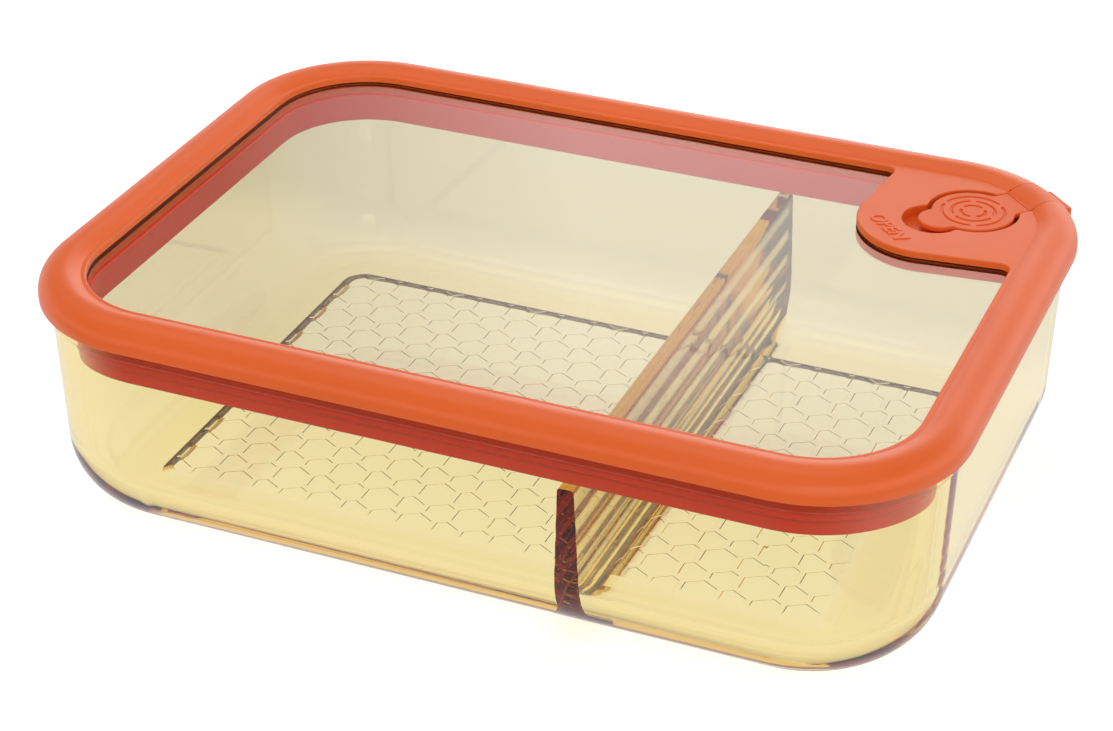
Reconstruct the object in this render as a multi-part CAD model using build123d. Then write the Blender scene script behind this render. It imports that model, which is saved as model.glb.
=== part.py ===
from build123d import *
import os
from math import cos, radians, sin, sqrt, tan

os.makedirs("parts", exist_ok=True)

# A divided glass food container with a push-on lid. Sizes are in millimetres.
# The table is at z = 0 and the origin is the middle of the base. The long side
# runs along X. Every outline is the same rounded rectangle, drawn in or out.

# Outline of the lid, taken at the lower edge of its skirt
lid_length = 220.0
lid_width = 158.0
lid_corner = 34.5

# Glass tub
tub_height = 55.0
tub_wall = 4.0
tub_draft = 1.65
floor_thick = 4.0
base_round = 15.2
cavity_round = 11.5
rim_band_height = 6.0
rim_band_proud = 0.8
rim_break = 0.9
foot_height = 1.5
foot_margin_x = 26.0
foot_margin_y = 23.0
foot_corner = 9.0

# Partition between the large and the small compartment
divider_x = 30.5
divider_below_rim = 15.0
divider_top_width = 4.3
divider_base_width = 6.4
divider_base_fillet = 4.0
divider_top_round = 0.8

# Frame of the lid: a skirt outside the rim, a rounded bead, a flat lip
skirt_wall = 1.3
skirt_gap = 0.4
skirt_drop = 3.0
skirt_shoulder = 1.6
crown_inset = 5.6
crown_radius = 7.0
side_radius = 4.75
bead_rise = 1.5
bead_height = 6.4
lip_width = 1.2
seat_gap = 0.3
carrier_wall = 1.0

# Window pane, moulded into a groove round the inside of the frame
pane_thick = 3.5
pane_grip = 1.5
pane_gap = 0.05
pane_below_lip = 1.6
lower_lip = 2.35

# Silicone seal: a flange on the rim, a sleeve and a plug with wiping lips
seal_flange = 1.0
seal_gap = 0.3
seal_plug_depth = 7.2
seal_step = 0.65
seal_toe = 1.3
lip_proud = 0.5
lip_thick = 1.2
lip_rise = 0.9
lip_count = 2
lip_root = 0.3
lip_pitch = 3.4
lip_from_bottom = 2.0

# Vent deck in one corner of the lid
deck_radius = 17.8
deck_flare = 6.4
deck_corner = 2.5
deck_skin = 2.0
deck_wall = 3.0

# Vent cap and the keyhole recess that it lies in
cap_centre = 11.2
cap_radius = 9.9
cap_gap = 1.1
cap_thick = 1.4
cap_drop = 0.1
finger_centre = 1.9
finger_radius = 5.0
finger_recess_centre = 0.2
finger_recess_radius = 7.3
keyhole_depth = 2.9
keyhole_floor = 1.6
cusp_round = 1.0

# Vent bore and the stopper under the cap
bore_radius = 3.5
bore_boss_wall = 1.6
bore_boss_drop = 1.9
stopper_gap = 0.3
stopper_tip_radius = 2.3
stopper_neck = 1.7
stopper_length = 3.7

# Strap that carries the cap, its thin hinge and the pull tab at its end
strap_width = 10.2
strap_thick = 0.6
strap_gap = 0.15
side_bend_at = [0, 0.4, 0.7]
hinge_length = 0.6
hinge_thick = 0.5
hinge_to_bead = 0.5
tab_root = 0.5
tab_proud = 1.4
tab_height = 2.3
tab_lift = 0.9
tab_round = 0.8

# How far a cutting shape runs past what it cuts, and how near counts as on a line
cut_past = 1.0
on_line = 0.01

# Heights that follow from the sizes above
lid_edge_z = tub_height - skirt_drop
crown_z = lid_edge_z + bead_height
lip_z = crown_z - bead_rise
pane_top_z = lip_z - pane_below_lip
pane_bottom_z = pane_top_z - pane_thick
carrier_bottom_z = pane_bottom_z - lower_lip
plug_bottom_z = carrier_bottom_z - seal_plug_depth
flange_bottom_z = tub_height + seat_gap
roof_z = flange_bottom_z + seal_flange
floor_z = foot_height + floor_thick
divider_top_z = tub_height - divider_below_rim
keyhole_z = lip_z - keyhole_depth

# Insets from the lid's outline that follow from the sizes above
rim_inset = skirt_wall + skirt_gap
wall_inset = rim_inset + rim_band_proud
cavity_inset = wall_inset + tub_wall
crown_centre_z = crown_z - crown_radius
bead_foot_inset = crown_inset + sqrt(crown_radius**2 - (crown_radius - bead_rise) ** 2)
window_inset = bead_foot_inset + lip_width
groove_inset = window_inset - pane_grip
carrier_inset = groove_inset - carrier_wall
plug_inset = window_inset + seal_step

# Middle of the round corner that holds the vent. The vent is laid out along the
# corner's diagonal, outwards from this point.
corner_x = lid_length / 2 - lid_corner
corner_y = lid_width / 2 - lid_corner
diagonal = 45.0
hinge_at = lid_corner - bead_foot_inset - hinge_to_bead
strap_start = hinge_at + hinge_length / 2


def outline(inset):
    """Rounded rectangle that lies the given distance inside the lid's outline."""
    return RectangleRounded(lid_length - 2 * inset, lid_width - 2 * inset, lid_corner - inset)


def slab(face, low, high):
    """Upright block with the given plan between two heights."""
    return extrude(Pos(0, 0, low) * face, high - low)


def on_vent(shape):
    """Put a shape, drawn with X outwards, on the diagonal of the vent's corner."""
    return Pos(corner_x, corner_y, 0) * Rot(0, 0, diagonal) * shape


def swept(section):
    """Sweep a section, drawn as (inset, height), round the lid's outline."""
    path = outline(0).face().outer_wire()
    start = Plane(origin=(0, -lid_width / 2, 0), x_dir=(0, 1, 0), z_dir=(1, 0, 0))
    ring = sweep(start * section, path=path)
    return ring


def bead_line(depth, flat):
    """Outer line of the frame, the given depth under its surface.

    It starts on the flat lip, runs over the crown on a large arc, turns down on
    a smaller one that is tangent to it, and ends at the skirt's lower edge.
    """
    crown = Vector(crown_inset, crown_centre_z)
    span = crown_radius - side_radius
    side_z = crown_centre_z + sqrt(span**2 - (crown_inset - side_radius) ** 2)
    side = Vector(side_radius, side_z)
    top_r = crown_radius - depth
    side_r = side_radius - depth
    meet = (side - crown).normalized()
    turn = (meet + Vector(-1, 0)).normalized()
    foot = crown + Vector(sqrt(top_r**2 - (top_r - bead_rise) ** 2), top_r - bead_rise)
    meeting = crown + meet * top_r
    widest = side + Vector(-side_r, 0)
    lip = Line((bead_foot_inset + flat, lip_z - depth), foot)
    over = ThreePointArc(foot, crown + Vector(0, top_r), meeting)
    down = ThreePointArc(meeting, side + turn * side_r, widest)
    skirt = Line(widest, (depth, lid_edge_z))
    return [lip, over, down, skirt]


def make_cavity():
    """The hollow of the tub, with draft and a rounded bottom edge."""
    depth = tub_height - floor_z
    top = Pos(0, 0, tub_height) * outline(cavity_inset)
    hollow = extrude(top, -depth, taper=tub_draft)
    low_edges = hollow.edges().group_by(Axis.Z)[0]
    return fillet(low_edges, cavity_round)


def make_tub(cavity):
    """Pressed glass tub with a band round its rim and a ring to stand on."""
    top = Pos(0, 0, tub_height) * outline(wall_inset)
    body = extrude(top, -tub_height, taper=tub_draft)
    body = fillet(body.edges().group_by(Axis.Z)[0], base_round)
    band = slab(outline(rim_inset), tub_height - rim_band_height, tub_height)
    tub = body + band
    tub = chamfer(tub.edges().group_by(Axis.Z)[-1], rim_break)
    tub = tub - cavity
    recess = RectangleRounded(
        lid_length - 2 * foot_margin_x, lid_width - 2 * foot_margin_y, foot_corner
    )
    return tub - slab(recess, 0, foot_height)


def make_divider(cavity):
    """Partition with drafted sides that flare into the floor."""
    top_half = divider_top_width / 2
    base_half = divider_base_width / 2
    flare_half = base_half + divider_base_fillet + cut_past
    under_z = floor_z - foot_height
    points = [
        (-flare_half, under_z),
        (flare_half, under_z),
        (flare_half, floor_z),
        (base_half, floor_z),
        (top_half, divider_top_z),
        (-top_half, divider_top_z),
        (-base_half, floor_z),
        (-flare_half, floor_z),
    ]
    section = make_face(Polyline(*points, close=True))
    corners = section.vertices()
    base = [v for v in corners if abs(abs(v.X) - base_half) < on_line]
    section = fillet(base, divider_base_fillet)
    crest = [v for v in section.vertices() if v.Y > divider_top_z - on_line]
    section = fillet(crest, divider_top_round)
    across = Plane(origin=(divider_x, 0, 0), x_dir=(1, 0, 0), z_dir=(0, -1, 0))
    wall = extrude(across * section, lid_width / 2, both=True)
    return wall & cavity


def deck_plan():
    """Plan of the vent deck: a disc whose two sides flare into the frame."""
    turn = radians(deck_flare)
    reach_x = lid_length / 2 - carrier_inset
    reach_y = lid_width / 2 - carrier_inset
    left_x = corner_x - deck_radius * cos(turn)
    left_y = corner_y + deck_radius * sin(turn)
    low_x = corner_x + deck_radius * sin(turn)
    low_y = corner_y - deck_radius * cos(turn)
    points = [
        (left_x, left_y),
        (left_x + (reach_y - left_y) * tan(turn), reach_y),
        (reach_x, reach_y),
        (reach_x, low_y + (reach_x - low_x) * tan(turn)),
        (low_x, low_y),
        (corner_x, corner_y),
    ]
    flares = make_face(Polyline(*points, close=True))
    return Pos(corner_x, corner_y) * Circle(deck_radius) + flares


def window_plan():
    """Plan of the opening that the pane shows through."""
    window = outline(window_inset) - deck_plan()
    edge_y = lid_width / 2 - window_inset
    edge_x = lid_length / 2 - window_inset
    quarter = [v for v in window.vertices() if v.X > 0 and v.Y > 0]
    sharp = [v for v in quarter if v.Y > edge_y - on_line or v.X > edge_x - on_line]
    return fillet(sharp, deck_corner)


def keyhole_plan(grow):
    """Plan of the recess under the cap, with its finger notch and its neck."""
    round_part = Pos(cap_centre, 0) * Circle(cap_radius + cap_gap + grow)
    notch = Pos(finger_recess_centre, 0) * Circle(finger_recess_radius + grow)
    neck_length = strap_start - cap_centre
    neck_width = strap_width + 2 * strap_gap + 2 * grow
    neck = Pos(cap_centre + neck_length / 2, 0) * Rectangle(neck_length, neck_width)
    return round_part + notch + neck


def ring_section():
    """Section of the frame: skirt, bead, lip and the wall that holds the pane."""
    inside = Polyline(
        (0, lid_edge_z),
        (skirt_wall, lid_edge_z),
        (skirt_wall, roof_z - skirt_shoulder),
        (skirt_wall + skirt_shoulder, roof_z),
        (carrier_inset, roof_z),
        (carrier_inset, carrier_bottom_z),
        (window_inset, carrier_bottom_z),
        (window_inset, lip_z),
    )
    return make_face(bead_line(0, lip_width) + inside.edges())


def make_frame(window):
    """Moulded frame of the lid with the vent deck in one corner."""
    frame = swept(ring_section())
    deck = slab(deck_plan() & outline(carrier_inset), carrier_bottom_z, lip_z)
    frame = frame + deck - slab(window, carrier_bottom_z - cut_past, crown_z)
    frame = frame - slab(offset(window, pane_grip), pane_bottom_z, pane_top_z)
    frame = frame - make_deck_pocket()
    frame = frame + make_bore_boss()
    frame = frame - on_vent(slab(keyhole_plan(0), keyhole_z, crown_z))
    frame = frame - on_vent(make_band(strap_width + 2 * strap_gap, 0))
    bore = Pos(cap_centre, 0) * Circle(bore_radius)
    return frame - on_vent(slab(bore, plug_bottom_z, keyhole_z))


def make_deck_pocket():
    """Hollow under the deck, which leaves an even skin over and round it."""
    skin_z = lip_z - deck_skin
    inner = offset(deck_plan() & outline(carrier_inset), -deck_wall)
    hollow = slab(inner, carrier_bottom_z, skin_z)
    tray = on_vent(slab(keyhole_plan(keyhole_floor), keyhole_z - keyhole_floor, skin_z))
    return hollow - tray


def make_bore_boss():
    """Short collar under the keyhole's floor that lengthens the vent bore."""
    collar = Pos(cap_centre, 0) * Circle(bore_radius + bore_boss_wall)
    floor_low = keyhole_z - keyhole_floor
    return on_vent(slab(collar, floor_low - bore_boss_drop, floor_low))


def make_pane(window):
    """Clear glass pane, cut to the window and its groove."""
    return slab(offset(window, pane_grip - pane_gap), pane_bottom_z, pane_top_z)


def seal_section():
    """Section of the seal: flange, sleeve, plug and the wiping lips."""
    slope = tan(radians(tub_draft))

    def glass_at(z):
        return cavity_inset + (tub_height - z) * slope

    body_inset = glass_at(plug_bottom_z) + seal_gap + lip_proud
    flange_inset = skirt_wall + skirt_shoulder + seat_gap
    body = make_face(
        Polyline(
            (flange_inset, flange_bottom_z),
            (flange_inset, roof_z),
            (carrier_inset, roof_z),
            (carrier_inset, carrier_bottom_z),
            (plug_inset, carrier_bottom_z),
            (plug_inset, plug_bottom_z),
            (body_inset, plug_bottom_z - seal_toe),
            (body_inset, flange_bottom_z),
            close=True,
        )
    )
    for number in range(lip_count):
        low = plug_bottom_z + lip_from_bottom + number * lip_pitch
        tip = glass_at(low) + seal_gap
        lip = Polyline(
            (body_inset + lip_root, low),
            (body_inset, low),
            (tip, low + lip_rise),
            (body_inset, low + lip_thick),
            (body_inset + lip_root, low + lip_thick),
            close=True,
        )
        body = body + make_face(lip)
    return body


def make_seal():
    """Silicone ring that lies on the rim and plugs the mouth of the tub."""
    return swept(seal_section())


def make_band(width, start):
    """Band of the bead's own skin that crosses it at the vent's corner.

    Its top is the bead's, and its underside runs straight from bend to bend.
    """
    top = bead_line(0, bead_foot_inset)
    lip, over, down, skirt = bead_line(strap_thick, bead_foot_inset)
    crest = Vector(crown_inset, crown_z - strap_thick)
    side_bends = [down @ t for t in side_bend_at]
    bends = [lip @ 0, over @ 0, crest, *side_bends, skirt @ 0, skirt @ 1]
    underside = Polyline(top[0] @ 0, *bends, top[-1] @ 1)
    section = make_face(top + underside.edges())
    across = Plane(origin=(lid_corner, 0, 0), x_dir=(-1, 0, 0), z_dir=(0, 1, 0))
    skin = revolve(Rot(0, 0, -diagonal) * (across * section), Axis.Z, 2 * diagonal)
    reach = lid_corner + cut_past - start
    strip = Pos(start + reach / 2, 0) * Rectangle(reach, width)
    return skin & slab(strip, lid_edge_z, crown_z)


def make_strap(frame):
    """Strap over the bead, bedded in its channel, with a pull tab at the end."""
    strap = make_band(strap_width, strap_start)
    depth = tab_root + tab_proud
    plan = RectangleRounded(depth, strap_width, tab_round)
    tab_z = lid_edge_z + tab_lift
    tab_x = lid_corner + tab_proud - depth / 2
    tab = Pos(tab_x, 0) * slab(plan, tab_z, tab_z + tab_height)
    return on_vent(strap + tab) - frame


def make_hinge():
    """Thin web that joins the cap to the strap."""
    web = Pos(hinge_at, 0) * Rectangle(hinge_length, strap_width)
    top_z = lip_z - cap_drop
    return on_vent(slab(web, top_z - hinge_thick, top_z))


def cap_plan():
    """Plan of the cap: disc, finger tab and the neck to the hinge."""
    disc = Pos(cap_centre, 0) * Circle(cap_radius)
    finger = Pos(finger_centre, 0) * Circle(finger_radius)
    neck_length = hinge_at - hinge_length / 2 - cap_centre
    neck = Pos(cap_centre + neck_length / 2, 0) * Rectangle(neck_length, strap_width)
    plan = disc + finger + neck
    cusps = [v for v in plan.vertices() if v.X < cap_centre]
    return fillet(cusps, cusp_round)


def make_cap():
    """Vent cap with a tapered stopper on its underside."""
    top_z = lip_z - cap_drop
    cap = slab(cap_plan(), top_z - cap_thick, top_z)
    radius = bore_radius - stopper_gap
    under_z = top_z - cap_thick
    neck = Pos(cap_centre, 0) * slab(Circle(radius), under_z - stopper_neck, under_z)
    taper = stopper_length - stopper_neck
    tip = Cone(stopper_tip_radius, radius, taper)
    tip = Pos(cap_centre, 0, under_z - stopper_neck - taper / 2) * tip
    return on_vent(cap + neck + tip)


cavity = make_cavity()
window = window_plan()
frame = make_frame(window)

pieces = {
    "glass_tub": make_tub(cavity),
    "divider": make_divider(cavity),
    "lid_frame": frame,
    "window_pane": make_pane(window),
    "lid_seal": make_seal(),
    "vent_strap": make_strap(frame),
    "vent_hinge": make_hinge(),
    "vent_cap": make_cap(),
}

for name, piece in pieces.items():
    export_step(piece, f"parts/{name}.step")
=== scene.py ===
from math import asin, atan, atan2, cos, degrees, pi, radians, sin, sqrt, tan

import bmesh
import bpy
from mathutils import Matrix, Vector


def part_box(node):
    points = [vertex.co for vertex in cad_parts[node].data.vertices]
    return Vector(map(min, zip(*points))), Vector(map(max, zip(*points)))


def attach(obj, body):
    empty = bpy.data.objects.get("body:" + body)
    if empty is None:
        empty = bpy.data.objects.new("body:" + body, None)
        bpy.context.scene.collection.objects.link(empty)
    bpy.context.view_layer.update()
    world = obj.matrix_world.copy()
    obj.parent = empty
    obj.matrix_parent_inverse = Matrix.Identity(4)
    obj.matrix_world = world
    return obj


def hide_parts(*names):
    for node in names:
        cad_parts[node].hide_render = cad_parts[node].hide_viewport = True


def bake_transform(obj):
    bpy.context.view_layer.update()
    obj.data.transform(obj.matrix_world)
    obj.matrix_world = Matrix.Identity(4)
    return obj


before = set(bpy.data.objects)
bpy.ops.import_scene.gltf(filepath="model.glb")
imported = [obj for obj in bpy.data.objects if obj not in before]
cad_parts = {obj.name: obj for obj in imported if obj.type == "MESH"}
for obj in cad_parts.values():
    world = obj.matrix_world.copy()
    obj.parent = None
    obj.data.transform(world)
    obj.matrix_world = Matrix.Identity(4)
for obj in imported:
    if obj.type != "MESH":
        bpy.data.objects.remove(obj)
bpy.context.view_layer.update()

# Glass body. One pressed piece of pale amber glass: the tub with a thicker band
# round its rim, the partition, a ring to stand on and, pressed into the underside
# inside that ring, a honeycomb. Sizes here are millimetres, meshes are metres.
MM = 0.001


def room_of(node):
    """Low and high corner of the space that a piece takes, in millimetres."""
    return [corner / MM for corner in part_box(node)]


lid_low, lid_high = room_of("lid_frame")
wall_low, wall_high = room_of("divider")
outline_corner = 34.5
corner_x = lid_high.x - outline_corner
corner_y = lid_high.y - outline_corner
corner_steps = 28
rim_z = room_of("glass_tub")[1].z
rim_round = 1.2
band_height = 6.0
band_z = rim_z - band_height
band_inset = 1.7
band_round = 0.5
wall_inset = 2.5
wall_thick = 4.0
cavity_inset = wall_inset + wall_thick
draft = 1.65
slope = tan(radians(draft))
floor_z = wall_low.z
base_round = 16.5
cavity_round = 11.5
partition_x = (wall_low.x + wall_high.x) / 2
partition_top_z = wall_high.z
partition_top_half = 1.9
partition_base_half = 3.2
partition_flare = 4.0
partition_round = 0.8
wave_depth = 0.05
wave_turns = 4.5
ripple_share = 0.4
ripple_turns = 7.7
wave_steps = 60
recess_half_x = 84.0
recess_half_y = 52.5
recess_corner = 6.0
recess_z = 1.5
recess_slope = 3.6
recess_round = 0.8
round_share = 0.45
recess_mouth = 1.5
mouth_end = 0.2
cell_pitch = 7.8
cell_rib = 1.2
large_cell = 4.5
cell_depth = 0.13
cell_slope = 0.24
cell_cut = 0.6
comb_x = 1.5
comb_start = 1
comb_share = 0.4
comb_fade = 3.5
fade_height = 0.3
trim_low = 0.5

# points this near are one, and a cutting shape stands this far, or only a hair, out of a face
same_spot = 0.001
cut_reach = 1.0
hair = 0.01


def arc(centre, radius, start, end, steps):
    """Points along an arc of a drawing plane, angles in degrees."""
    turns = [radians(start + (end - start) * i / steps) for i in range(steps + 1)]
    return [(centre[0] + radius * cos(a), centre[1] + radius * sin(a)) for a in turns]


def swept(profile, ring=False, fill=True):
    """Carry a profile of (inset, height) points round the lid's outline."""
    bm = bmesh.new()
    front_y = -corner_y - outline_corner
    points = [bm.verts.new((corner_x, front_y + inset, z)) for inset, z in profile]
    pairs = list(zip(points, points[1:]))
    if ring:
        pairs.append((points[-1], points[0]))
    geom = points + [bm.edges.new(pair) for pair in pairs]
    length, width = 2 * corner_x, 2 * corner_y
    sides = (
        (corner_x, -corner_y, (0, width, 0)),
        (corner_x, corner_y, (-length, 0, 0)),
        (-corner_x, corner_y, (0, -width, 0)),
        (-corner_x, -corner_y, (length, 0, 0)),
    )
    up = (0, 0, 1)
    for at_x, at_y, run in sides:
        cent = (at_x, at_y, 0)
        turned = bmesh.ops.spin(bm, geom=geom, cent=cent, axis=up, angle=pi / 2, steps=corner_steps)
        geom = turned["geom_last"]
        carried = bmesh.ops.spin(bm, geom=geom, cent=(0, 0, 0), axis=up, dvec=run, angle=0, steps=1)
        geom = carried["geom_last"]
    bmesh.ops.remove_doubles(bm, verts=bm.verts, dist=same_spot)
    if fill:
        bmesh.ops.holes_fill(bm, edges=bm.edges, sides=0)
        bmesh.ops.recalc_face_normals(bm, faces=bm.faces)
    return bm


def stacked(levels, bm=None, fill=True):
    """Skin over a stack of like loops, each a list of (x, y, z) points."""
    bm = bm or bmesh.new()
    loops = []
    for level in levels:
        points = [bm.verts.new(p) for p in level]
        ring = zip(points, points[1:] + points[:1])
        loops.append([bm.edges.new(pair) for pair in ring])
    for low, high in zip(loops, loops[1:]):
        bmesh.ops.bridge_loops(bm, edges=low + high)
    if fill:
        for loop in (loops[0], loops[-1]):
            bmesh.ops.edgeloop_fill(bm, edges=loop)
        bmesh.ops.recalc_face_normals(bm, faces=bm.faces)
    return bm


def placed(name, data):
    """Put a mesh, a text, a lamp or a camera into the scene as an object."""
    made = bpy.data.objects.new(name, data)
    bpy.context.scene.collection.objects.link(made)
    return made


def working(bm, name):
    """Turn a drawing in millimetres into an object in metres."""
    bmesh.ops.scale(bm, vec=(MM, MM, MM), verts=bm.verts)
    mesh = bpy.data.meshes.new(name)
    bm.to_mesh(mesh)
    bm.free()
    return placed(name, mesh)


def settled_mesh(body):
    """Mesh of an object as its modifiers, or its letters, make it."""
    bpy.context.view_layer.update()
    depsgraph = bpy.context.evaluated_depsgraph_get()
    return bpy.data.meshes.new_from_object(body.evaluated_get(depsgraph))


def worked(body, how, tool):
    """Unite a body with a tool, cut it by the tool or keep what both hold."""
    change = body.modifiers.new(how, "BOOLEAN")
    change.operation = how
    change.solver = "EXACT"
    change.object = tool
    shape = settled_mesh(body)
    body.modifiers.clear()
    body.data = shape
    bpy.data.objects.remove(tool)
    return body


def shaded(piece, material, crease=28):
    """Shade a finished piece smoothly, with flat faces flat and creases crisp."""
    piece.data.shade_smooth()
    piece.data.set_sharp_from_angle(angle=radians(crease))
    even = piece.modifiers.new("even_shading", "WEIGHTED_NORMAL")
    even.keep_sharp = True
    piece.data.materials.clear()
    piece.data.materials.append(material)
    return piece


def wall_foot(inset, low, radius):
    """Round between a level floor and a drafted wall with this inset at the rim."""
    at = inset + (rim_z - low - radius) * slope + radius / cos(radians(draft))
    return arc((at, low + radius), radius, 270, 180 + draft, steps=18)


band_foot = wall_inset + (rim_z - band_z) * slope
tub_profile = wall_foot(wall_inset, 0, base_round)
tub_profile += [(band_foot, band_z)]
tub_profile += arc((band_inset + band_round, band_z + band_round), band_round, 270, 180, steps=9)
tub_profile += arc((band_inset + rim_round, rim_z - rim_round), rim_round, 180, 90, steps=8)
tub_profile += arc((cavity_inset - rim_round, rim_z - rim_round), rim_round, 90, 0, steps=8)
tub_profile += reversed(wall_foot(cavity_inset, floor_z, cavity_round))
glass_body = working(swept(tub_profile), "glass_body")

# the partition reaches half way into the walls and the floor, where it is one with them
core_inset = wall_inset + wall_thick / 2
core_profile = wall_foot(core_inset, (floor_z + recess_z) / 2, (base_round + cavity_round) / 2)
core_profile += [(core_inset, rim_z - rim_round)]
core = working(swept(core_profile), "core")
lean = atan((partition_base_half - partition_top_half) / (partition_top_z - floor_z))
foot_x = partition_base_half - partition_flare * tan(lean) + partition_flare / cos(lean)
foot_turn = 180 + degrees(lean)
top_x = partition_top_half + partition_round * tan(lean) - partition_round / cos(lean)
half = [(foot_x, recess_z)]
half += arc((foot_x, floor_z + partition_flare), partition_flare, 270, foot_turn, steps=10)
rise = partition_top_z - partition_round - floor_z - partition_flare
for step in range(1, wave_steps):
    part = step / wave_steps
    ripple = ripple_share * sin(ripple_turns * part * 2 * pi)
    swell = wave_depth * sin(pi * part) * (sin(wave_turns * part * 2 * pi) + ripple)
    side_x = partition_base_half + (partition_flare + part * rise) * -tan(lean) + swell
    half.append((side_x, floor_z + partition_flare + part * rise))
half += arc((top_x, partition_top_z - partition_round), partition_round, degrees(lean), 90, steps=9)
section = half + [(-x, z) for x, z in reversed(half)]
half_width = corner_y + outline_corner
ends = [[(partition_x + x, y, z) for x, z in section] for y in (-half_width, half_width)]
partition = worked(working(stacked(ends), "partition"), "INTERSECT", core)
glass_body = worked(glass_body, "UNION", partition)


def rounded(half_x, half_y, radius, z, steps=10):
    """Rounded rectangle about the middle, as points at a height."""
    loop = []
    for quarter, (sx, sy) in enumerate(((1, 1), (-1, 1), (-1, -1), (1, -1))):
        centre = (sx * (half_x - radius), sy * (half_y - radius))
        loop += arc(centre, radius, 90 * quarter, 90 * quarter + 90, steps)
    return [(x, y, z) for x, y in loop]


def recess_level(grow, z):
    """Outline of the recess in the underside, drawn out by a little."""
    return rounded(recess_half_x + grow, recess_half_y + grow, recess_corner + grow, z)


# the recess has a faint soft mouth and a slope that is rounded at its foot and its top
soft = recess_round * tan(atan2(recess_z, recess_slope) / 2)
soft_rise = round_share * soft * recess_z / recess_slope
recess_line = (
    (recess_mouth, -cut_reach),
    (recess_mouth, -hair),
    (mouth_end, 2 * hair),
    (-soft / 2, soft_rise),
    (soft / 2 - recess_slope, recess_z - soft_rise),
    (-soft - recess_slope, recess_z),
)
recess = working(stacked([recess_level(grow, z) for grow, z in recess_line]), "recess")
glass_body = worked(glass_body, "DIFFERENCE", recess)


def cell(at_x, at_y, reaches):
    """One cell of the honeycomb, a hollow with six sloped sides, as a cutting shape."""
    levels = []
    for shrink, z in ((0, -cell_cut), (0, 0), (cell_slope, cell_depth)):
        loop = []
        for side in range(6):
            turn = radians(60 * side)
            near = reaches[side % 2] - cell_rib / 2 - shrink
            along = (reaches[(side + 1) % 2] - cell_rib / 2 - shrink - near / 2) / sin(radians(60))
            spot = Vector((near, along)) @ Matrix.Rotation(-turn, 2)
            loop.append((at_x + spot.x, at_y + spot.y, recess_z + z))
        levels.append(loop)
    return levels


# every third cell of a row is large, and the small ones give way to it
small_cell = cell_pitch - large_cell
kinds = ((large_cell, large_cell), (cell_pitch / 2, small_cell), (small_cell, cell_pitch / 2))
row_pitch = cell_pitch * sin(radians(60))
rows = int(recess_half_y / row_pitch) + 2
columns = int(recess_half_x / cell_pitch) + rows
comb_mesh = bmesh.new()
for row in range(-rows, rows + 1):
    for column in range(-columns, columns + 1):
        spot_x = comb_x + (column + 0.5 * row) * cell_pitch
        if abs(spot_x) > recess_half_x + cell_pitch:
            continue
        one = stacked(cell(spot_x, row * row_pitch, kinds[(column - row + comb_start) % 3]))
        mesh = bpy.data.meshes.new("cell")
        one.to_mesh(mesh)
        one.free()
        comb_mesh.from_mesh(mesh)
        bpy.data.meshes.remove(mesh)
comb = working(comb_mesh, "comb")

# the honeycomb runs out over the slope at the left and the back, and fades away before it
# at the right and the front
back = comb_share * recess_slope
fades = ((0, -trim_low), (0, -2 * hair), (comb_fade, fade_height), (comb_fade, 2 * fade_height))
within = []
for fade, up in fades:
    front = recess_slope + fade
    inset = (back + front) / 2
    aside = (back - front) / 2
    loop = rounded(recess_half_x - inset, recess_half_y - inset, recess_corner - back, recess_z + up)
    within.append([(x + aside, y - aside, z) for x, y, z in loop])
comb = worked(comb, "INTERSECT", working(stacked(within), "within"))
glass_body = worked(glass_body, "DIFFERENCE", comb)


def emptied(owner):
    """Node tree of a material or of the room, with nothing in it yet."""
    owner.use_nodes = True
    owner.node_tree.nodes.clear()
    return owner.node_tree


def feed(tree, socket, value):
    """Set a socket to a number, or link it to the output of another node."""
    if isinstance(value, float):
        socket.default_value = value
    else:
        tree.links.new(value, socket)


def ramp(tree, source, low, high, low_value, high_value):
    """Straight change of a value between two levels of another one."""
    step = tree.nodes.new("ShaderNodeMapRange")
    names = ("Value", "From Min", "From Max", "To Min", "To Max")
    for name, value in zip(names, (source, low, high, low_value, high_value)):
        feed(tree, step.inputs[name], value)
    return step.outputs["Result"]


def cloudy(tree, scale, detail):
    """Soft random pattern over a piece, in the piece's own place."""
    place, noise = tree.nodes.new("ShaderNodeTexCoord"), tree.nodes.new("ShaderNodeTexNoise")
    feed(tree, noise.inputs["Vector"], place.outputs["Object"])
    feed(tree, noise.inputs["Scale"], scale)
    feed(tree, noise.inputs["Detail"], detail)
    return noise.outputs["Fac"]


def effect(name, inputs, outputs):
    """Start an effect that materials share, with named inputs and outputs."""
    group = bpy.data.node_groups.new(name, "ShaderNodeTree")
    for label, kind, value in inputs:
        socket = group.interface.new_socket(label, in_out="INPUT", socket_type="NodeSocket" + kind)
        socket.default_value = value
    for label, kind in outputs:
        group.interface.new_socket(label, in_out="OUTPUT", socket_type="NodeSocket" + kind)
    given, out = group.nodes.new("NodeGroupInput"), group.nodes.new("NodeGroupOutput")
    return group, given.outputs, out.inputs


def pressed_surface():
    """Effect for glass: a faint wave in the surface and wiped patches in its gloss."""
    inputs = (("Wave Scale", "Float", 30.0), ("Smudge", "Float", 0.03))
    outputs = (("Roughness", "Float"), ("Height", "Float"))
    group, given, out = effect("pressed_surface", inputs, outputs)
    wiped = ramp(group, cloudy(group, 55.0, 4.0), 0.55, 0.8, 0.0, given["Smudge"])
    feed(group, out["Roughness"], wiped)
    feed(group, out["Height"], cloudy(group, given["Wave Scale"], 1.0))
    return group


pressed = pressed_surface()


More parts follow.
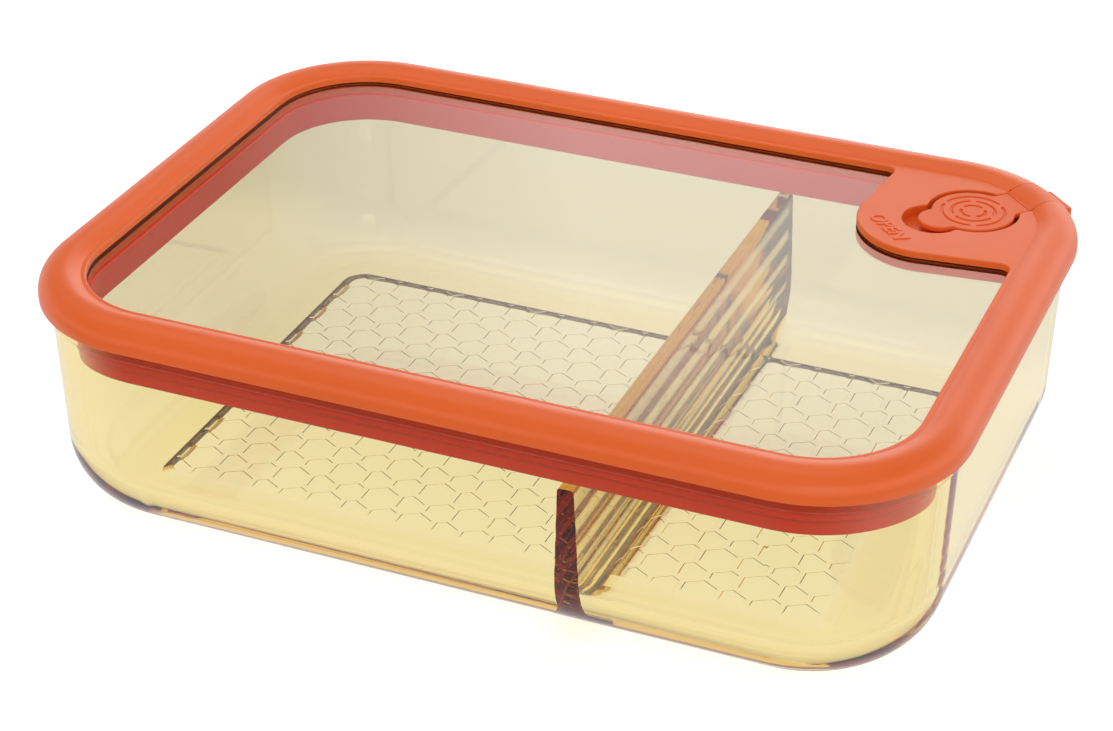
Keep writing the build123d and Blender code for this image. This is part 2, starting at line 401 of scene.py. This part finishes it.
def glass(name, wave_scale, smudge, relief, tint, density):
    """Solid glass, coloured through its depth."""
    material = bpy.data.materials.new(name)
    tree = emptied(material)
    new, link = tree.nodes.new, tree.links.new
    out, body = new("ShaderNodeOutputMaterial"), new("ShaderNodeBsdfPrincipled")
    body.inputs["Base Color"].default_value = (1, 1, 1, 1)
    body.inputs["Transmission Weight"].default_value = 1.0
    body.inputs["IOR"].default_value = 1.5
    surface = new("ShaderNodeGroup")
    surface.node_tree = pressed
    surface.inputs["Wave Scale"].default_value = wave_scale
    surface.inputs["Smudge"].default_value = smudge
    bump = new("ShaderNodeBump")
    bump.inputs["Strength"].default_value = 1.0
    bump.inputs["Distance"].default_value = relief
    depth = new("ShaderNodeVolumeAbsorption")
    depth.inputs["Color"].default_value = tint
    depth.inputs["Density"].default_value = density
    link(surface.outputs["Roughness"], body.inputs["Roughness"])
    link(surface.outputs["Height"], bump.inputs["Height"])
    link(bump.outputs["Normal"], body.inputs["Normal"])
    link(body.outputs["BSDF"], out.inputs["Surface"])
    link(depth.outputs["Volume"], out.inputs["Volume"])
    return material


# light lost per metre of glass is the density times one less the tint
amber_glass = glass("amber_glass", 30.0, 0.015, 0.000002, (0.91, 0.74, 0.0, 1), 100.0)
shaded(glass_body, amber_glass, crease=12)
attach(glass_body, "tub")
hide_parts("glass_tub", "divider")

# Lid frame. One orange moulding: a rounded bead with a skirt outside the rim, a
# flat lip round the window with a groove for the pane, and in one corner a deck
# with a keyhole recess for the vent cap, its bore and a channel for the strap.
pane_low, pane_high = room_of("window_pane")
seal_low, seal_high = room_of("lid_seal")
crown_z = lid_high.z
carrier_z = lid_low.z
roof_z = seal_high.z
bead_height = 6.4
bead_rise = 1.5
lip_z = crown_z - bead_rise
lid_edge_z = crown_z - bead_height
skirt_wall = 1.3
skirt_shoulder = 1.6
edge_round = 0.35
crown_inset = 5.6
crown_radius = 7.0
side_radius = 4.75
lip_width = 1.2
pane_grip = 1.5
carrier_wall = 1.0
crown_reach = sqrt(crown_radius**2 - (crown_radius - bead_rise) ** 2)
window_inset = crown_inset + crown_reach + lip_width
carrier_inset = window_inset - pane_grip - carrier_wall
deck_radius = 17.8
deck_flare = 6.4
deck_corner = 2.5
cap_centre = 11.2
keyhole_depth = 2.9
keyhole_z = lip_z - keyhole_depth
keyhole_radius = 11.0
notch_centre = 0.2
notch_radius = 7.3
cusp_round = 1.0
neck_half = 5.1
vent_gap = 0.15
strap_start = 24.37
strap_thick = 0.6
bore_radius = 3.5
bore_break = 0.3
deck_skin = 2.0
deck_wall = 3.0
keyhole_skin = 0.95
collar_wall = 1.6
collar_drop = 3.5
channel_open = 2.0
band_spare = 1.3


def bead_line(depth):
    """Outer line of the bead from its foot to the skirt's edge, at a depth under its skin."""
    crown = Vector((crown_inset, crown_z - crown_radius))
    rise = sqrt((crown_radius - side_radius) ** 2 - (crown_inset - side_radius) ** 2)
    side = (side_radius, crown.y + rise)
    meet = degrees(atan2(rise, side_radius - crown_inset))
    top = crown_radius - depth
    foot = degrees(asin((top - bead_rise) / top))
    over = arc(crown, top, foot, meet, steps=22)
    return over + arc(side, side_radius - depth, meet, 180, steps=16)[1:]


edge_z = lid_edge_z + edge_round
frame_profile = bead_line(0)
frame_profile += arc((edge_round, edge_z), edge_round, 180, 270, steps=4)
frame_profile += arc((skirt_wall - edge_round, edge_z), edge_round, 270, 360, steps=4)
frame_profile += [(skirt_wall, roof_z - skirt_shoulder), (skirt_wall + skirt_shoulder, roof_z)]
frame_profile += [(carrier_inset, roof_z), (carrier_inset, carrier_z)]


def vent_corner(grow, steps):
    """Window's edge round the vent deck, from the right side to the top one."""
    reach = outline_corner - window_inset + grow
    radius = deck_radius - grow
    fillet = deck_corner + grow
    turn = radians(deck_flare)
    at_x = reach - fillet
    side = (at_x - radius * sin(turn)) * sin(turn)
    at_y = -radius * cos(turn) + (side - fillet) / cos(turn)
    first = arc((at_x, at_y), fillet, 0, 90 + deck_flare, steps)
    round_deck = arc((0, 0), radius, -90 + deck_flare, -180 - deck_flare, 3 * steps)
    second = [(y, x) for x, y in reversed(first)]
    return [(corner_x + x, corner_y + y) for x, y in first + round_deck + second]


def window_level(grow, z, steps=12):
    """Edge of the window, drawn out by a little, as points at a height."""
    radius = outline_corner - window_inset + grow
    loop = vent_corner(grow, steps)
    for quarter, (sx, sy) in enumerate(((-1, 1), (-1, -1), (1, -1))):
        start = 90 * quarter + 90
        loop += arc((sx * corner_x, sy * corner_y), radius, start, start + 90, 2 * steps)
    return [(x, y, z) for x, y in loop]


def flared(level, radius, top_z, steps):
    """Levels of a hole that opens in a round up to a top face."""
    turn = arc((0, 0), radius, 0, 90, steps)
    return [level(radius - x, top_z - radius + z) for x, z in turn]


window_levels = flared(window_level, edge_round, lip_z, steps=4)[::-1]
for grow, z in (
    (0, pane_high.z),
    (pane_grip, pane_high.z),
    (pane_grip, pane_low.z),
    (0, pane_low.z),
    (0, carrier_z + edge_round),
    (edge_round, carrier_z),
):
    window_levels.append(window_level(grow, z))
shell = stacked(window_levels, swept(frame_profile, fill=False), fill=False)
for level in (lip_z, carrier_z):
    rim = [e for e in shell.edges if e.is_boundary and abs(e.verts[0].co.z - level) < same_spot]
    bmesh.ops.triangle_fill(shell, edges=rim, use_beauty=True)
bmesh.ops.recalc_face_normals(shell, faces=shell.faces)
lid_shell = working(shell, "lid_shell")


def on_vent(tool):
    """Turn a shape drawn with X outwards to the diagonal of the vent's corner."""
    turn = Matrix.Rotation(radians(45), 4, "Z")
    tool.data.transform(Matrix.Translation((corner_x * MM, corner_y * MM, 0)) @ turn)
    return tool


def flap_outline(disc, disc_radius, tab, tab_radius, half_neck, end, grow, z):
    """Disc with a small tab inwards and a neck outwards, met by little rounds."""
    gap_length = disc - tab
    far, near = disc_radius + cusp_round, tab_radius + cusp_round
    along = (gap_length**2 + far**2 - near**2) / (2 * gap_length)
    up = sqrt(far**2 - along**2)
    neck_up = half_neck + cusp_round
    neck_x = disc + sqrt(far**2 - neck_up**2)
    on_disc = degrees(atan2(neck_up, neck_x - disc))
    cusp_disc = degrees(atan2(up, -along))
    cusp_tab = degrees(atan2(up, disc - along - tab))
    small = cusp_round - grow
    half = [(end + grow, half_neck + grow)]
    half += arc((neck_x, neck_up), small, 270, 180 + on_disc, steps=5)
    half += arc((disc, 0), disc_radius + grow, on_disc, cusp_disc, steps=30)[1:]
    half += arc((disc - along, up), small, 180 + cusp_disc, 180 + cusp_tab, steps=5)[1:]
    half += arc((tab, 0), tab_radius + grow, cusp_tab, 180, steps=14)[1:]
    return [(x, y, z) for x, y in half] + [(x, -y, z) for x, y in reversed(half[:-1])]


def keyhole_level(grow, z):
    """Outline of the recess that the vent cap lies in."""
    channel_half = neck_half + vent_gap
    sizes = (cap_centre, keyhole_radius, notch_centre, notch_radius, channel_half, strap_start)
    return flap_outline(*sizes, grow, z)


keyhole = []
for x, z in arc((0, 0), edge_round, 270, 360, steps=4):
    keyhole.append(keyhole_level(x - edge_round, keyhole_z + edge_round + z))
keyhole += flared(keyhole_level, edge_round, lip_z + 3 * hair, steps=5)
keyhole += [keyhole_level(edge_round, crown_z + cut_reach)]
lid_shell = worked(lid_shell, "DIFFERENCE", on_vent(working(stacked(keyhole), "keyhole")))


def disc_level(radius, z):
    """Circle about the middle of the cap, as points at a height."""
    return [(x, y, z) for x, y in arc((cap_centre, 0), radius, 0, 360, steps=48)[:-1]]


# the deck is hollow underneath, with a skin round the keyhole and a collar round the bore
pocket_reach = outline_corner - carrier_inset - deck_wall
pocket_round = deck_radius - deck_wall
turn = radians(deck_flare)
flare_end = -pocket_round * cos(turn) + (pocket_reach - pocket_round * sin(turn)) * tan(turn)
pocket_line = [(pocket_reach, flare_end)]
pocket_line += arc((0, 0), pocket_reach, 0, 90, steps=24)
pocket_line += [(flare_end, pocket_reach)]
pocket_line += arc((0, 0), pocket_round, 180 - deck_flare, 270 + deck_flare, steps=30)
pocket_levels = []
for z in (carrier_z - cut_reach, lip_z - deck_skin):
    pocket_levels.append([(corner_x + x, corner_y + y, z) for x, y in pocket_line])
tray_levels = [keyhole_level(keyhole_skin, z) for z in (keyhole_z - keyhole_skin, lip_z)]
tray = on_vent(working(stacked(tray_levels), "tray"))
pocket = worked(working(stacked(pocket_levels), "pocket"), "DIFFERENCE", tray)
lid_shell = worked(lid_shell, "DIFFERENCE", pocket)
collar_radius = bore_radius + collar_wall
collar = [disc_level(collar_radius, keyhole_z - z) for z in (collar_drop, keyhole_skin / 2)]
lid_shell = worked(lid_shell, "UNION", on_vent(working(stacked(collar), "collar")))

bore = []
for grow, z in (
    (0, carrier_z - cut_reach),
    (0, keyhole_z - bore_break),
    (bore_break, keyhole_z + hair),
    (bore_break, keyhole_z + cut_reach),
):
    bore.append(disc_level(bore_radius + grow, z))
lid_shell = worked(lid_shell, "DIFFERENCE", on_vent(working(stacked(bore), "bore")))


def band(depth_out, depth_in, half_wide, low_z):
    """Strip of the bead's skin between two depths, across the bead at the vent's corner."""
    start = outline_corner - strap_start
    loop = [(start, lip_z - depth_out)] + bead_line(depth_out) + [(depth_out, low_z)]
    loop += [(depth_in, low_z)] + bead_line(depth_in)[::-1] + [(start, lip_z - depth_in)]
    bm = bmesh.new()
    points = [bm.verts.new((outline_corner - inset, 0, z)) for inset, z in loop]
    edges = [bm.edges.new(pair) for pair in zip(points, points[1:] + points[:1])]
    sweep = 2 * atan2(band_spare * half_wide, strap_start)
    middle, up = (0, 0, 0), (0, 0, 1)
    first = Matrix.Rotation(-sweep / 2, 3, "Z")
    bmesh.ops.rotate(bm, verts=points, cent=middle, matrix=first)
    bmesh.ops.spin(bm, geom=points + edges, cent=middle, axis=up, angle=sweep, steps=14)
    for side in (-1, 1):
        bmesh.ops.bisect_plane(
            bm,
            geom=bm.verts[:] + bm.edges[:] + bm.faces[:],
            plane_co=(0, side * half_wide, 0),
            plane_no=(0, side, 0),
            clear_outer=True,
        )
    bmesh.ops.holes_fill(bm, edges=bm.edges, sides=0)
    bmesh.ops.recalc_face_normals(bm, faces=bm.faces)
    return bm


channel = band(-channel_open, strap_thick, neck_half + vent_gap, lid_edge_z - cut_reach)
lid_frame_skin = worked(lid_shell, "DIFFERENCE", on_vent(working(channel, "channel")))
lid_frame_skin.name = "lid_frame_skin"


def combined(tree, how, *values):
    """Values put together by a named operation."""
    result = tree.nodes.new("ShaderNodeMath")
    result.operation = how
    for socket, value in zip(result.inputs, values):
        feed(tree, socket, value)
    return result.outputs["Value"]


def mixed(tree, factor, first, second, kind="FLOAT", how="MIX"):
    """Something between two values or two colours, by a factor."""
    mix = tree.nodes.new("ShaderNodeMix")
    mix.data_type = kind
    mix.blend_type = how
    for name, value in (("Factor", factor), ("A", first), ("B", second)):
        feed(tree, mix.inputs[name], value)
    return mix.outputs["Result"]


def moulded_surface():
    """Effect for moulded pieces: fine grain, cloudy colour and paler worn edges."""
    white = (1, 1, 1, 1)
    inputs = (("Color", "Color", white), ("Edge Color", "Color", white), ("Gloss", "Float", 0.4))
    outputs = (("Color", "Color"), ("Roughness", "Float"), ("Height", "Float"))
    group, given, out = effect("moulded_surface", inputs, outputs)
    shape = group.nodes.new("ShaderNodeNewGeometry")
    cloud = ramp(group, cloudy(group, 22.0, 2.0), 0.0, 1.0, 0.94, 1.06)
    edge = ramp(group, shape.outputs["Pointiness"], 0.6, 0.75, 0.0, 0.5)
    scuff = ramp(group, cloudy(group, 160.0, 5.0), 0.0, 1.0, -0.07, 0.07)
    tone = mixed(group, 1.0, given["Color"], cloud, "RGBA", "MULTIPLY")
    feed(group, out["Color"], mixed(group, edge, tone, given["Edge Color"], "RGBA"))
    feed(group, out["Roughness"], combined(group, "ADD", given["Gloss"], scuff))
    feed(group, out["Height"], cloudy(group, 2600.0, 1.0))
    return group


moulded = moulded_surface()


def moulding(name, color, edge_color, gloss, grain_depth):
    """Solid coloured plastic or silicone, with the moulded surface."""
    material = bpy.data.materials.new(name)
    tree = emptied(material)
    new, link = tree.nodes.new, tree.links.new
    out, body = new("ShaderNodeOutputMaterial"), new("ShaderNodeBsdfPrincipled")
    body.inputs["IOR"].default_value = 1.5
    surface = new("ShaderNodeGroup")
    surface.node_tree = moulded
    surface.inputs["Color"].default_value = color
    surface.inputs["Edge Color"].default_value = edge_color
    surface.inputs["Gloss"].default_value = gloss
    bump = new("ShaderNodeBump")
    bump.inputs["Strength"].default_value = 1.0
    bump.inputs["Distance"].default_value = grain_depth
    link(surface.outputs["Color"], body.inputs["Base Color"])
    link(surface.outputs["Roughness"], body.inputs["Roughness"])
    link(surface.outputs["Height"], bump.inputs["Height"])
    link(bump.outputs["Normal"], body.inputs["Normal"])
    link(body.outputs["BSDF"], out.inputs["Surface"])
    return material


orange, pale_orange = (0.86, 0.128, 0.011, 1), (0.92, 0.18, 0.03, 1)
lid_orange = moulding("lid_orange", orange, pale_orange, 0.38, 0.00001)
shaded(lid_frame_skin, lid_orange)
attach(lid_frame_skin, "lid")
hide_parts("lid_frame")

# Operating word beside the finger notch, raised with the deck and read from the
# window's side. It is moulded in one with the frame.
word_centre = -11.5
word_height = 3.9
word_length = 14.0
word_proud = 0.25
letters = bpy.data.curves.new("open_word", "FONT")
letters.body = "OPEN"
letters.size = 1.0
letters.shear = 0.25
letters.extrude = 0.05
letters.bevel_depth = 0.02
letters.bevel_resolution = 2
letters.offset = 0.012
letters.align_x = "CENTER"
letters.align_y = "CENTER"
drawn_word = placed("drawn_word", letters)
cut_word = settled_mesh(drawn_word)
bpy.data.objects.remove(drawn_word)
open_word = placed("open_word", cut_word)
spots = [v.co for v in cut_word.vertices]
low = Vector([min(p[i] for p in spots) for i in range(3)])
high = Vector([max(p[i] for p in spots) for i in range(3)])
wanted = (word_length, word_height, 2 * word_proud)
fit = Matrix.Diagonal([size / (high[i] - low[i]) for i, size in enumerate(wanted)] + [1])
cut_word.transform(fit @ Matrix.Translation(-(low + high) / 2))
cut_word.transform(Matrix.Rotation(radians(-90), 4, "Z"))
cut_word.transform(Matrix.Translation((word_centre, 0, lip_z)))
cut_word.transform(Matrix.Diagonal((MM, MM, MM, 1)))
on_vent(open_word)
shaded(open_word, lid_orange, crease=50)
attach(open_word, "lid")

# Window pane. Clear glass moulded into the groove of the frame, with its edges
# broken all round.
pane_gap = 0.05
pane_break = 0.3
grip = pane_grip - pane_gap
pane_levels = [window_level(grip - pane_break, pane_low.z)]
pane_levels += [window_level(grip, z) for z in (pane_low.z + pane_break, pane_high.z - pane_break)]
pane_levels += [window_level(grip - pane_break, pane_high.z)]
clear_pane = working(stacked(pane_levels), "clear_pane")
clear_glass = glass("clear_glass", 14.0, 0.01, 0.000002, (0.62, 0.52, 0.24, 1), 100.0)
shaded(clear_pane, clear_glass)
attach(clear_pane, "lid")
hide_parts("window_pane")

# Seal. Red-orange silicone ring under the frame: a flange on the rim, a sleeve
# round the carrier and a plug with two wiping lips inside the mouth of the tub.
seal_round = 0.5
slip = 0.02
flange_thick = 1.0
flange_gap = 0.3
flange_break = 0.2
flange_z = seal_high.z - flange_thick
flange_outer = skirt_wall + skirt_shoulder + flange_gap
plug_toe = 1.3
plug_z = seal_low.z + plug_toe
plug_lap = 0.65
plug_inset = window_inset + plug_lap
plug_gap = 0.8
plug_outer = cavity_inset + (rim_z - plug_z) * slope + plug_gap
plug_fillet = 0.3
lips = 2
lip_first = 2.0
lip_pitch = 3.4
lip_thick = 1.0
lip_gap = 0.3
lip_break = 0.1
lip_under = 0.45
lip_nose = 0.7
inner_toe = (plug_inset - seal_round, plug_z + seal_round)
outer_toe = (plug_outer + seal_round, seal_low.z + seal_round)
seal_profile = arc(inner_toe, seal_round, 0, -90, steps=4)
seal_profile += arc(outer_toe, seal_round, -90, -180, steps=4)
for number in range(lips):
    low_z = plug_z + lip_first + number * lip_pitch
    tip = cavity_inset + (rim_z - low_z) * slope + lip_gap
    seal_profile += [(plug_outer, low_z), (tip + lip_break, low_z + lip_under)]
    seal_profile += [(tip, low_z + lip_nose), (tip, low_z + lip_thick)]
    seal_profile += [(plug_outer, low_z + 1.5 * lip_thick)]
seal_profile += [(plug_outer, flange_z - plug_fillet), (plug_outer - plug_fillet, flange_z)]
seal_profile += [(flange_outer + flange_break, flange_z), (flange_outer, flange_z + flange_break)]
seal_profile += [(flange_outer, roof_z - slip), (carrier_inset - slip, roof_z - slip)]
seal_profile += [(carrier_inset - slip, carrier_z - slip), (plug_inset, carrier_z - slip)]
soft_seal = working(swept(seal_profile, ring=True), "soft_seal")
red, pale_red = (0.9, 0.048, 0.012, 1), (0.92, 0.08, 0.02, 1)
seal_red = moulding("seal_red", red, pale_red, 0.5, 0.00002)
shaded(soft_seal, seal_red)
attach(soft_seal, "lid")
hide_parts("lid_seal")

# Vent cap. Soft orange silicone: a disc with a finger tab over the notch, broken
# rings sunk into its top, a neck to the hinge and a tapered stopper underneath.
cap_low, cap_high = room_of("vent_cap")
cap_top_z = cap_high.z
cap_thick = 1.4
cap_under_z = cap_top_z - cap_thick
cap_radius = 9.9
finger_centre = 1.9
finger_radius = 5.0
cap_end = 23.77
cap_round = 0.4
soft_break = 0.3
stopper_radius = 3.2
stopper_tip = 2.3
stopper_neck = 1.7
ring_radii = (2.9, 5.2, 7.5)
ring_half = 0.35
ring_depth = 0.4
ring_round = 0.12
ring_flare = 0.14
ring_gap = 2.0
ring_parts = 3


def cap_level(grow, z):
    """Outline of the vent cap, drawn out by a little, at a height."""
    sizes = (cap_centre, cap_radius, finger_centre, finger_radius, neck_half, cap_end)
    return flap_outline(*sizes, grow, z)


def turned_over(level, radius, top_z):
    """Levels of a soft piece whose side turns over in a round up to its top face."""
    turn = arc((0, 0), radius, 0, 90, steps=5)
    return [level(x - radius, top_z - radius + z) for x, z in turn]


cap_levels = [cap_level(-soft_break, cap_under_z), cap_level(0, cap_under_z + soft_break)]
cap_levels += turned_over(cap_level, cap_round, cap_top_z)
cap_skin = working(stacked(cap_levels), "cap_skin")
stopper = []
for radius, z in (
    (stopper_tip - soft_break, cap_low.z),
    (stopper_tip, cap_low.z + soft_break),
    (stopper_radius, cap_under_z - stopper_neck),
    (stopper_radius, cap_under_z + soft_break),
):
    stopper.append(disc_level(radius, z))
cap_skin = worked(cap_skin, "UNION", working(stacked(stopper), "stopper"))


def ring_slot(radius, start, end):
    """Curved slot with round ends, flared at its mouth, as a cutting shape."""
    head, tail = radians(end), radians(start)
    head_end = (cap_centre + radius * cos(head), radius * sin(head))
    tail_end = (cap_centre + radius * cos(tail), radius * sin(tail))
    levels = []
    for grow, z in (
        (-ring_round, -ring_depth),
        (0, ring_round - ring_depth),
        (0, -ring_round),
        (ring_flare, 2 * hair),
        (ring_flare, cut_reach),
    ):
        half = ring_half + grow
        loop = arc((cap_centre, 0), radius + half, start, end, steps=18)
        loop += arc(head_end, half, end, end + 180, steps=6)[1:-1]
        loop += arc((cap_centre, 0), radius - half, end, start, steps=18)
        loop += arc(tail_end, half, start + 180, start + 360, steps=6)[1:-1]
        levels.append([(x, y, cap_top_z + z) for x, y in loop])
    return stacked(levels)


for number, radius in enumerate(ring_radii):
    blank = degrees(ring_gap / radius)
    step = 360 / ring_parts
    for part in range(ring_parts):
        start = part * step + number * step / 2 + blank / 2
        slot = working(ring_slot(radius, start, start + step - blank), "slot")
        cap_skin = worked(cap_skin, "DIFFERENCE", slot)
on_vent(cap_skin)
soft_orange, pale_soft_orange = (0.85, 0.125, 0.012, 1), (0.9, 0.16, 0.03, 1)
vent_orange = moulding("vent_orange", soft_orange, pale_soft_orange, 0.45, 0.00001)
shaded(cap_skin, vent_orange)
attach(cap_skin, "vent")
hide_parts("vent_cap")

# Strap and hinge web of the vent. One silicone moulding with the cap: the web is the
# hinge and lies at the foot of the bead, the strap is bedded over it and ends in a tab.
tab_root = 0.5
tab_proud = 1.4
tab_half = (tab_root + tab_proud) / 2
tab_lift = 0.9
tab_height = 2.3
tab_low = lid_edge_z + tab_lift
tab_high = tab_low + tab_height
tab_corner = 0.8
tab_round = 0.4
web_thick = 0.5
web_cuts = 7
strap_band = band(0.0, strap_thick - slip, neck_half, lid_edge_z)
strap_skin = working(strap_band, "strap_skin")


def tab_level(grow, z):
    """Outline of the pull tab at the strap's end."""
    loop = rounded(tab_half + grow, neck_half + grow, tab_corner + grow, z, steps=6)
    return [(outline_corner + tab_proud - tab_half + x, y, z) for x, y, z in loop]


tab_levels = [tab_level(-soft_break, tab_low), tab_level(0, tab_low + soft_break)]
tab_levels += turned_over(tab_level, tab_round, tab_high)
strap_skin = worked(strap_skin, "UNION", working(stacked(tab_levels), "tab"))
on_vent(strap_skin)
shaded(strap_skin, vent_orange)
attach(strap_skin, "lid")
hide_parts("vent_strap")

web_length = strap_start - cap_end
web_middle = ((strap_start + cap_end) / 2, 0, cap_top_z - web_thick / 2)
web = bmesh.new()
bmesh.ops.create_cube(web, size=1.0)
bmesh.ops.scale(web, vec=(web_length, 2 * neck_half, web_thick), verts=web.verts)
bmesh.ops.translate(web, verts=web.verts, vec=web_middle)
runs = [e for e in web.edges if abs(e.verts[0].co.x - e.verts[1].co.x) > web_length / 2]
bmesh.ops.subdivide_edges(web, edges=runs, cuts=web_cuts, use_grid_fill=True)
hinge_web = on_vent(working(web, "hinge_web"))
shaded(hinge_web, vent_orange)
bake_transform(hinge_web)
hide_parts("vent_hinge")

# Studio. A pale floor in a white room with two wide soft lamps. Camera, gloss and
# glass see floor and room each at a brightness of its own, as with cards set out
# round the box.
floor_size = 8000.0
floor_drop = 0.2
floor_sheet = bmesh.new()
bmesh.ops.create_grid(floor_sheet, x_segments=1, y_segments=1, size=floor_size / 2)
bmesh.ops.translate(floor_sheet, verts=floor_sheet.verts, vec=(0, 0, -floor_drop))
floor = working(floor_sheet, "floor")


def clamped(tree, source):
    """Value held between none and one."""
    return ramp(tree, source, 0.0, 1.0, 0.0, 1.0)


def bounced_back(tree, path):
    """One for rays that a surface mirrors, none for those that went through glass last."""
    glossy, through = path.outputs["Is Glossy Ray"], path.outputs["Is Transmission Ray"]
    return clamped(tree, combined(tree, "SUBTRACT", glossy, through))


# the floor shows its shadow to the camera, and to glass it glows plainly: less at its far
# end, as painted shade behind the box, little for the light in the box, and less in front
# for rays turned inside the glass and for gloss, as a painted dark reflection
white_floor = bpy.data.materials.new("white_floor")
tree = emptied(white_floor)
new, link = tree.nodes.new, tree.links.new
out, path = new("ShaderNodeOutputMaterial"), new("ShaderNodeLightPath")
place, axes = new("ShaderNodeTexCoord"), new("ShaderNodeSeparateXYZ")
link(place.outputs["Object"], axes.inputs["Vector"])
# painted dark reflection: the floor in front of the box is dark to gloss and to rays turned inside
# the glass
near = ramp(tree, axes.outputs["Y"], -0.15, -0.09, 0.1, 1.0)
# painted shade: the floor behind the box is dimmer as glass shows it
far = ramp(tree, axes.outputs["Y"], 0.075, 0.1, 1.0, 0.84)
lighting = ramp(tree, path.outputs["Diffuse Depth"], 0.0, 1.0, 1.0, 0.12)
turned = clamped(tree, path.outputs["Glossy Depth"])
front = combined(tree, "MULTIPLY_ADD", turned, combined(tree, "SUBTRACT", near, 1.0), 1.0)
# glow through glass, with the painted shade behind the box and the painted dark front
shaded_glow = combined(tree, "MULTIPLY", combined(tree, "MULTIPLY", far, lighting), front)
matt, lift = new("ShaderNodeBsdfDiffuse"), new("ShaderNodeEmission")
white, mirrored_glow = new("ShaderNodeEmission"), new("ShaderNodeEmission")
lifted = new("ShaderNodeAddShader")
shown, final = new("ShaderNodeMixShader"), new("ShaderNodeMixShader")
matt.inputs["Color"].default_value = (0.8, 0.8, 0.8, 1)
lift.inputs["Strength"].default_value = 0.5
link(path.outputs["Is Camera Ray"], lift.inputs["Color"])
link(shaded_glow, white.inputs["Strength"])
# what gloss sees of the floor, with the painted dark reflection in front
link(near, mirrored_glow.inputs["Strength"])
link(matt.outputs["BSDF"], lifted.inputs[0])
link(lift.outputs["Emission"], lifted.inputs[1])
link(path.outputs["Is Transmission Ray"], shown.inputs["Fac"])
link(lifted.outputs["Shader"], shown.inputs[1])
link(white.outputs["Emission"], shown.inputs[2])
link(bounced_back(tree, path), final.inputs["Fac"])
link(shown.outputs["Shader"], final.inputs[1])
link(mirrored_glow.outputs["Emission"], final.inputs[2])
link(final.outputs["Shader"], out.inputs["Surface"])
floor.data.materials.append(white_floor)

# gloss mirrors a bright horizon, a bright low sky at the right and the back and a dim one
# above, what stands behind glass is lit from above, and rays turned inside the glass find
# the front dark
white_room = bpy.data.worlds.new("white_room")
bpy.context.scene.world = white_room
tree = emptied(white_room)
new, link = tree.nodes.new, tree.links.new
out, sky = new("ShaderNodeOutputWorld"), new("ShaderNodeBackground")
path, place = new("ShaderNodeLightPath"), new("ShaderNodeTexCoord")
axes = new("ShaderNodeSeparateXYZ")
link(place.outputs["Generated"], axes.inputs["Vector"])
low_sky = ramp(tree, axes.outputs["Z"], 0.5, 0.58, 1.0, 0.0)
aside = combined(tree, "MULTIPLY_ADD", axes.outputs["Y"], 0.53, axes.outputs["X"])
right_sky = ramp(tree, aside, -0.05, 0.1, 0.0, 1.0)
left_side = ramp(tree, axes.outputs["X"], -0.7, -0.3, 0.5, 1.0)
low_band = ramp(tree, axes.outputs["Z"], 0.2, 0.35, 1.0, 0.0)
horizon = combined(tree, "MULTIPLY", low_band, left_side)
bright = combined(tree, "MAXIMUM", combined(tree, "MULTIPLY", low_sky, right_sky), horizon)
backdrop = ramp(tree, bright, 0.0, 1.0, 0.15, 2.45)
top_light = ramp(tree, axes.outputs["Z"], 0.1, 0.6, 0.25, 2.3)
front_dark = ramp(tree, axes.outputs["Y"], -0.3, 0.05, 0.15, 1.0)
through = mixed(tree, clamped(tree, path.outputs["Glossy Depth"]), 1.0, front_dark)
clear = mixed(tree, clamped(tree, path.outputs["Diffuse Depth"]), through, top_light)
level = mixed(tree, bounced_back(tree, path), 1.0, backdrop)
seen = combined(tree, "MAXIMUM", path.outputs["Is Camera Ray"], path.outputs["Is Transmission Ray"])
beyond = combined(tree, "MULTIPLY", path.outputs["Is Camera Ray"], 0.3)
strength = combined(tree, "ADD", mixed(tree, seen, level, clear), beyond)
link(strength, sky.inputs["Strength"])
link(sky.outputs["Background"], out.inputs["Surface"])

lamp_aim = Vector((0, 0, 0.03))


def lamp(name, place, size, power):
    """Wide soft lamp aimed at the middle of the box."""
    light = bpy.data.lights.new(name, "AREA")
    light.shape = "RECTANGLE"
    light.size = light.size_y = size
    light.energy = power
    made = placed(name, light)
    made.location = place
    made.rotation_mode = "QUATERNION"
    made.rotation_quaternion = (lamp_aim - Vector(place)).to_track_quat("-Z", "Y")


lamp("top_lamp", (-0.25, 0.25, 0.9), 0.7, 1.0)
lamp("front_lamp", (0.35, -0.9, 0.5), 0.25, 0.8)

# the camera's place, direction and focal length follow from the box's outlines
camera_place = (0.2098, -0.5054, 0.3452)
looks_down = 30.46
turned_left = 22.786
lens = bpy.data.cameras.new("camera")
lens.lens = 85.54
lens.sensor_width = 36
lens.clip_start = 0.01
camera = placed("camera", lens)
camera.location = camera_place
camera.rotation_euler = (radians(90 - looks_down), 0, radians(turned_left))
bpy.context.scene.camera = camera
bpy.context.scene.view_settings.view_transform = "Standard"

# light is followed to its end inside the glass
bounces = 64
cycles = bpy.context.scene.cycles
cycles.max_bounces = bounces
cycles.transmission_bounces = bounces
cycles.glossy_bounces = bounces
cycles.blur_glossy = 0.0
